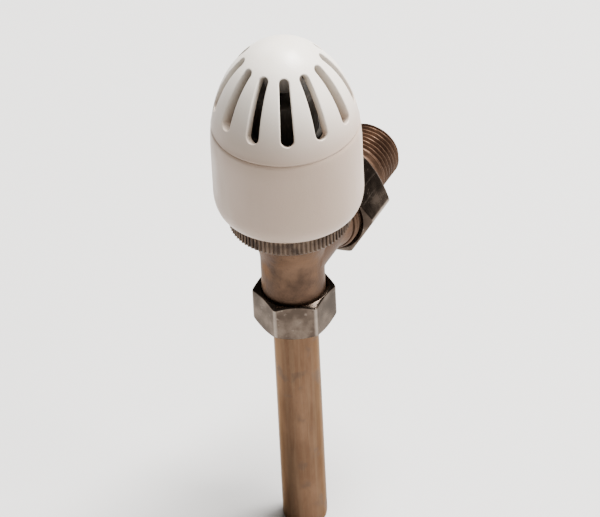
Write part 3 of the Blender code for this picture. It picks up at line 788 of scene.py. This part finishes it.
def make_union_nut(material):
    """30 mm hexagon nut over the tail's shoulder."""
    low, high = UNION_LOW.y - AXIS_Y, UNION_HIGH.y - AXIS_Y
    across_flats, corner, corner_round = 30.0 * MM, 17.3 * MM, 0.6 * MM
    outer_face_r, outer_chamfer = 14.0 * MM, 1.9 * MM
    inner_face_r, inner_chamfer = 14.4 * MM, 1.6 * MM
    thread_r, lip_r, lip_y = 13.4 * MM, 10.8 * MM, high - 3.7 * MM
    corners = [(lip_r, high, SOFT), (outer_face_r, high, EASED)]
    corners += [(corner, high - outer_chamfer, corner_round)]
    corners += [(corner, low + inner_chamfer, corner_round)]
    corners += [(inner_face_r, low, EASED), (thread_r, low, EASED)]
    corners += [(thread_r, lip_y, CRISP), (lip_r, lip_y, CRISP)]
    outline = finer(filleted(corners), low, high, 0.4 * MM)
    reach = hexagon(across_flats, 0.0, thread_r + 0.2 * MM)
    mesh = lathe("union_nut_hexagon", outline, 288, reach, along_y=True)
    mark_worn(mesh, 16.75 * MM, 17.2 * MM, along_y=True)
    piece = add_piece("union_nut_hexagon", mesh, material)
    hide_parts("union_nut")
    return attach(piece, "valve")


def make_tail(material):
    """Threaded tail between the union nut and the radiator."""
    end, nose = TAIL_HIGH.y - AXIS_Y, TAIL_LOW.y - AXIS_Y
    bore, nose_r, barrel_r, shoulder_r = 6.2 * MM, 9.0 * MM, 9.3 * MM, 12.6 * MM
    groove_low, groove_high, groove_r = 29.2 * MM, 31.4 * MM, 7.1 * MM
    shoulder_low, shoulder_high = 33.3 * MM, 36.3 * MM
    thread_low, thread_high, depth = 48.0 * MM, end - 1.1 * MM, 1.1 * MM
    corners = [(bore, end, ROUND), (barrel_r, end, CRISP), (NECK_R, thread_high, CRISP)]
    corners += [(NECK_R, thread_low, CRISP), (barrel_r, thread_low - 1.2 * MM, ROUND)]
    corners += [(barrel_r, shoulder_high, ROUND), (shoulder_r, shoulder_high, SOFT)]
    corners += [(shoulder_r, shoulder_low, SOFT), (nose_r, shoulder_low, EASED)]
    corners += [(nose_r, groove_high, CRISP), (groove_r, groove_high, EASED)]
    corners += [(groove_r, groove_low, EASED), (nose_r, groove_low, CRISP)]
    corners += [(nose_r, nose, SOFT), (bore, nose, SOFT)]
    outline = finer(filleted(corners, 3), thread_low, thread_high, 0.14 * MM)
    reach = threaded(NECK_R, GAS_PITCH, thread_low, end - 0.4 * MM, depth)
    mesh = lathe("threaded_tail", outline, 128, reach, along_y=True)
    piece = add_piece("threaded_tail", mesh, material)
    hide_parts("union_tail")
    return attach(piece, "valve")


def make_pipe(material):
    """Stub of copper pipe with a slightly rolled cut end."""
    top, foot = PIPE_HIGH.z, PIPE_LOW.z
    bore, edge = PIPE_R - 0.7 * MM, 0.15 * MM
    rolled = 1.2 * MM  # length that the pipe cutter has drawn in
    corners = [(bore, top, CRISP), (PIPE_R, top, edge), (PIPE_R, foot + rolled, 0.5 * MM)]
    corners += [(PIPE_R - edge, foot, edge), (bore, foot, CRISP)]
    mesh = lathe("copper_pipe_stub", filleted(corners, 3), 128)
    piece = add_piece("copper_pipe_stub", mesh, material)
    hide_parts("copper_tube")
    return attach(piece, "valve")


def solid(name, corners, columns=96, along_y=False):
    """A turned closed solid used to build the body."""
    outline = filleted(corners) if len(corners[0]) == 3 else np.array(corners)
    mesh = lathe(name, outline, columns, closed=False, along_y=along_y)
    obj = bpy.data.objects.new(name, mesh)
    bpy.context.scene.collection.objects.link(obj)
    return obj


def neck_corners(core_r, top, foot):
    """The body's upright outside: a core for the head's thread, flaring in to the neck."""
    core_foot = 12.6 * MM
    shoulder_r, shoulder_z = 13.4 * MM, 11.2 * MM
    flare_r, flare_z = 12.4 * MM, 7.5 * MM
    neck_top = 2.0 * MM
    corners = [(0.0, top, 0), (core_r, top, 0), (core_r, core_foot, 0)]
    corners += [(shoulder_r, shoulder_z, 1.2 * MM), (flare_r, flare_z, 2.0 * MM)]
    corners += [(NECK_R, neck_top, 3.0 * MM), (NECK_R, foot, 0), (0.0, foot, 0)]
    return corners


def branch_corners(end):
    """The body's branch: a core for the union's thread on a narrower root."""
    core_r, core_low = 12.0 * MM, 20.6 * MM
    root_r, root_high = 10.8 * MM, 18.4 * MM
    corners = [(0.0, end, 0), (core_r, end, 0), (core_r, core_low, 0.5 * MM)]
    corners += [(root_r, root_high, 1.5 * MM), (root_r, 0.0, 0), (0.0, 0.0, 0)]
    return corners


def water_way(mouth_r, flow_r, top, foot):
    """The hollow up the valve axis: bonnet bore, chamber, seat and pipe socket."""
    chamber_r, chamber_top, chamber_foot = 8.0 * MM, 12.3 * MM, -8.0 * MM
    seat_r, seat_foot, flow_z = 4.6 * MM, -10.0 * MM, -12.0 * MM
    socket_r, socket_z = 7.8 * MM, -13.0 * MM
    points = [(0.0, top + MM), (mouth_r, top + MM), (mouth_r, chamber_top)]
    points += [(chamber_r, chamber_top), (chamber_r, chamber_foot), (seat_r, chamber_foot)]
    points += [(seat_r, seat_foot), (flow_r, flow_z), (socket_r, socket_z)]
    points += [(socket_r, foot - MM), (0.0, foot - MM)]
    return points


def outlet_way(mouth_r, flow_r, end):
    """The hollow along the branch, wider where the tail's nose sits."""
    mouth_low, start = end - 6.0 * MM, 0.2 * MM
    points = [(0.0, end + MM), (mouth_r, end + MM), (mouth_r, mouth_low)]
    points += [(flow_r, mouth_low - MM), (flow_r, start), (0.0, start)]
    return points


def make_body(material):
    """Forged body: neck and branch blended into one, hollowed, with its own threads."""
    top, foot, end = BODY_HIGH.z, BODY_LOW.z, BODY_HIGH.y - AXIS_Y
    head_r, mouth_r, flow_r = 15.0 * MM, 9.3 * MM, 6.5 * MM
    body = solid("forged_body", neck_corners(head_r - 0.9 * MM, top, foot))
    steps = (
        ("UNION", solid("branch", branch_corners(end), along_y=True)),
        ("DIFFERENCE", solid("water_way", water_way(mouth_r, flow_r, top, foot))),
        ("DIFFERENCE", solid("outlet_way", outlet_way(mouth_r, flow_r, end), along_y=True)),
    )
    for operation, tool in steps:
        join = body.modifiers.new(operation.title(), "BOOLEAN")
        join.operation = operation
        join.object = tool
    skin = body.modifiers.new("Skin", "REMESH")
    skin.mode = "VOXEL"
    skin.voxel_size = 0.42 * MM
    blend = body.modifiers.new("Blend", "SMOOTH")
    blend.factor = 0.5
    blend.iterations = 7
    bpy.context.view_layer.update()
    evaluated = body.evaluated_get(bpy.context.evaluated_depsgraph_get())
    mesh = bpy.data.meshes.new_from_object(evaluated)
    for used in (body, *(tool for operation, tool in steps)):
        bpy.data.objects.remove(used, do_unlink=True)
    piece = add_piece("forged_angle_body", mesh, material, sharp=60.0)
    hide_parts("valve_body")
    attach(piece, "valve")
    make_thread_sleeve("head_thread", head_r, 1.6 * MM, HEAD_PITCH, (13.0 * MM, top), material)
    make_thread_sleeve(
        "branch_thread", 13.1 * MM, 1.6 * MM, GAS_PITCH, (21.5 * MM, end), material, True
    )
    make_thread_sleeve(
        "neck_thread", NECK_R, 1.55 * MM, GAS_PITCH, (foot, foot + 11.5 * MM), material
    )


def make_thread_sleeve(name, crest, wall, pitch, span, material, along_y=False):
    """A threaded skin over one end of the body, between the two heights of its span."""
    low, high = span
    bore, lead = crest - wall, 0.6 * MM
    corners = [(bore, high, 0), (crest - 0.5 * MM, high, CRISP), (crest, high - lead, CRISP)]
    corners += [(crest, low + lead, CRISP), (crest - lead, low, CRISP), (bore, low, 0)]
    outline = finer(filleted(corners, 3), low, high, 0.15 * MM)
    reach = threaded(crest, pitch, low + 0.2 * MM, high - 0.2 * MM, 0.62 * pitch)
    mesh = lathe(name, outline, 112, reach, along_y=along_y)
    piece = add_piece(name, mesh, material)
    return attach(piece, "valve")


def make_spring(name, node, coil_r, wire_r, turns, gap, material):
    """Coil spring with closed ends, standing where the CAD's spring stands."""
    low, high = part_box(node)
    foot, top = low.z, high.z - gap
    per_turn, around = 28, 12
    closed = 0.6  # turns at each end that lie nearly flat
    angle = np.linspace(0.0, 2 * math.pi * turns, per_turn * turns + 1)
    climb = np.clip((angle / (2 * math.pi) - closed) / (turns - 2 * closed), 0.0, 1.0)
    rise = top - foot - 2.4 * wire_r
    height = foot + 1.05 * wire_r + rise * climb + 0.3 * wire_r * angle / angle[-1]
    section = np.arange(around) * 2 * math.pi / around
    spread = coil_r + wire_r * np.cos(section)
    points = [
        np.stack([spread * math.cos(a), spread * math.sin(a), z + wire_r * np.sin(section)], -1)
        for a, z in zip(angle, height)
    ]
    ends = [np.repeat(row.mean(axis=0)[None], around, axis=0) for row in (points[0], points[-1])]
    bm = bmesh.new()
    add_grid(bm, np.array([ends[0], *points, ends[1]]))
    mesh = bpy.data.meshes.new(name)
    bm.to_mesh(mesh)
    bm.free()
    tidy(mesh)
    for vertex in mesh.vertices:
        vertex.co.y += AXIS_Y
    piece = add_piece(name, mesh, material)
    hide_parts(node)
    return piece


def make_springs(material):
    """The head's overtravel spring, and the pin's return spring on a mesh of its own."""
    over = make_spring("overtravel_coil", "overtravel_spring", 7.2 * MM, 0.7 * MM, 4, 0.0, material)
    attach(over, "setting_carrier")
    clip_gap = 0.3 * MM
    back = make_spring("return_coil", "return_spring", 3.6 * MM, 0.45 * MM, 4, clip_gap, material)
    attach(back, "valve")
    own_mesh(back)


# Stage ----------------------------------------------------------------------


def make_floor(material):
    """A wide pale square just under the pipe's cut end."""
    half, level = 8.0, CAD_LOW.z - 0.5 * MM
    mesh = bpy.data.meshes.new("floor")
    sides = ((-half, -half), (half, -half), (half, half), (-half, half))
    mesh.from_pydata([(x, y, level) for x, y in sides], [], [(0, 1, 2, 3)])
    mesh.materials.append(material)
    floor = bpy.data.objects.new("floor", mesh)
    bpy.context.scene.collection.objects.link(floor)


def make_light(name, azimuth, elevation, distance, size, power, tint):
    """A soft square light aimed at the cap."""
    data = bpy.data.lights.new(name, "AREA")
    data.size = size
    data.energy = power
    data.color = tint
    light = bpy.data.objects.new(name, data)
    bpy.context.scene.collection.objects.link(light)
    back = view_direction(azimuth, elevation)
    target = Vector((0.0, AXIS_Y, (CAP_FOOT + CAP_TOP) / 2))
    light.location = target + back * distance
    light.rotation_mode = "QUATERNION"
    light.rotation_quaternion = (-back).to_track_quat("-Z", "Y")


def view_direction(azimuth, elevation):
    """Unit vector from the object to a viewer; azimuth 0 looks along +Y."""
    a, e = math.radians(azimuth), math.radians(elevation)
    return Vector((math.sin(a) * math.cos(e), -math.cos(a) * math.cos(e), math.sin(e)))


def make_camera():
    """Long lens that looks down on the valve, with its upright leaning a little to the left."""
    azimuth, elevation, distance = 27.5, 38.0, 1.875
    lean = 2.9  # degrees
    width_seen = 195.3 * MM  # at the valve
    aim_height, aim_right = -2.2 * MM, 2.5 * MM
    data = bpy.data.cameras.new("camera")
    data.sensor_width = 36.0
    data.lens = data.sensor_width * distance / width_seen
    data.clip_end = 50.0
    camera = bpy.data.objects.new("camera", data)
    bpy.context.scene.collection.objects.link(camera)
    back = view_direction(azimuth, elevation)
    right = Vector((math.cos(math.radians(azimuth)), math.sin(math.radians(azimuth)), 0.0))
    target = Vector((0.0, AXIS_Y, aim_height)) + right * aim_right
    camera.location = target + back * distance
    camera.rotation_mode = "QUATERNION"
    roll = Matrix.Rotation(math.radians(-lean), 3, "Z").to_quaternion()
    camera.rotation_quaternion = (-back).to_track_quat("-Z", "Y") @ roll
    bpy.context.scene.camera = camera


def make_world():
    """Dim warm light from all round."""
    world = bpy.data.worlds.new("studio")
    world.use_nodes = True
    background = world.node_tree.nodes["Background"]
    background.inputs["Color"].default_value = (1.0, 0.94, 0.88, 1.0)
    background.inputs["Strength"].default_value = 0.18
    bpy.context.scene.world = world


def repaint(material, *names):
    """Gives carried-over CAD nodes their finish."""
    for name in names:
        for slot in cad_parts[name].material_slots:
            slot.material = material


make_camera()
make_world()
make_floor(floor_finish())
make_light("key", azimuth=155.0, elevation=66.0, distance=1.6, size=0.8,
           power=135.0, tint=(1.0, 0.985, 0.96))
make_light("side", azimuth=95.0, elevation=30.0, distance=1.5, size=0.5,
           power=13.0, tint=(1.0, 0.95, 0.90))

brass, copper, steel = brass_finish(), copper_finish(), steel_finish()
dark, rubber = dark_plastic_finish(), rubber_finish()
repaint(dark, "head_base", "guide_ring", "adjusting_sleeve", "spring_cup")
repaint(brass, "olive", "bonnet", "gland_nut", "valve_disc", "disc_nut")
repaint(steel, "valve_pin", "pin_clip", "cap_clip", "sensor_piston")
repaint(rubber, "tail_o_ring", "bonnet_o_ring", "gland_o_ring", "seat_washer")
repaint(copper, "sensor_capsule")

make_cap(cap_finish())
make_collar(collar_finish())
make_body(brass)
make_compression_nut(nut_finish("machined_compression_nut", "Z"))
make_union_nut(nut_finish("machined_union_nut", "Y"))
make_tail(brass)
make_pipe(copper)
make_springs(steel)
